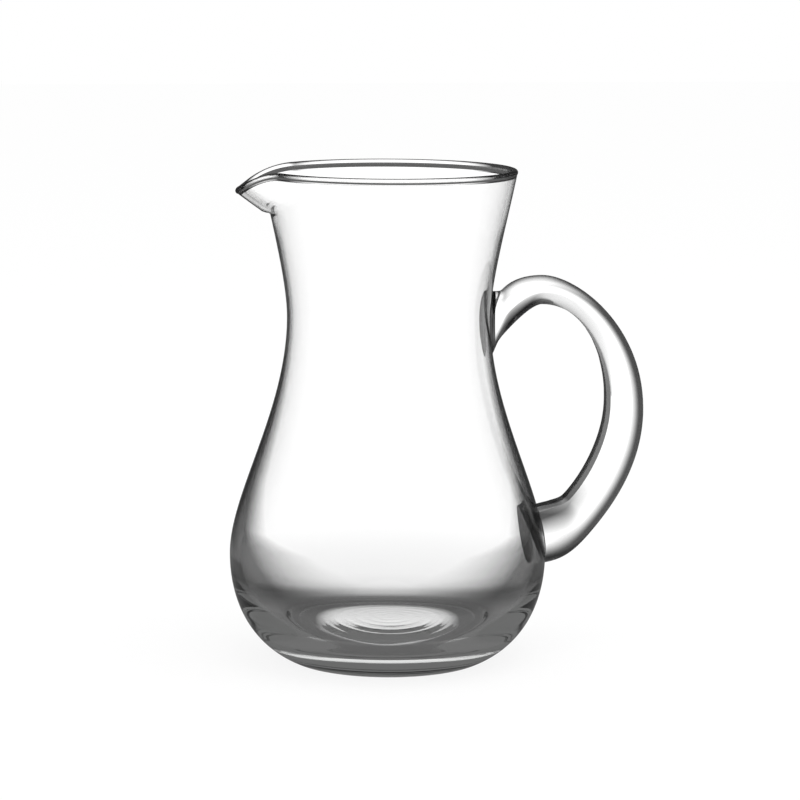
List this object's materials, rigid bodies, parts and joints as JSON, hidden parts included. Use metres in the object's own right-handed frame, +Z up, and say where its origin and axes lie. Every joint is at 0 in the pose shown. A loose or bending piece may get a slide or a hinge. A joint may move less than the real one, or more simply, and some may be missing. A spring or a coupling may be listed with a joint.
{
  "type": "glass pouring jug",
  "caption": "Clear glass pouring jug: pear-shaped bowl on a heavy base, drawn-in neck, flared mouth with a pulled lip, and a solid glass handle welded to the wall.",
  "frame": {"origin": "bottom centre of the whole part, on the plane of the ring that it stands on", "axes": "+Z up along the jug's axis, +X towards the handle, which bows out in the plane XZ, -X towards the pouring lip, which stands 12 degrees off that plane towards +Y"},
  "size_m": [0.158, 0.1192, 0.185],
  "materials": {
    "clear_glass": "clear, fire-polished, with a faint grey tint in the thick base"
  },
  "bodies": {
    "root": {"jug_body": "clear_glass", "handle": "clear_glass"}
  },
  "joints": []
}
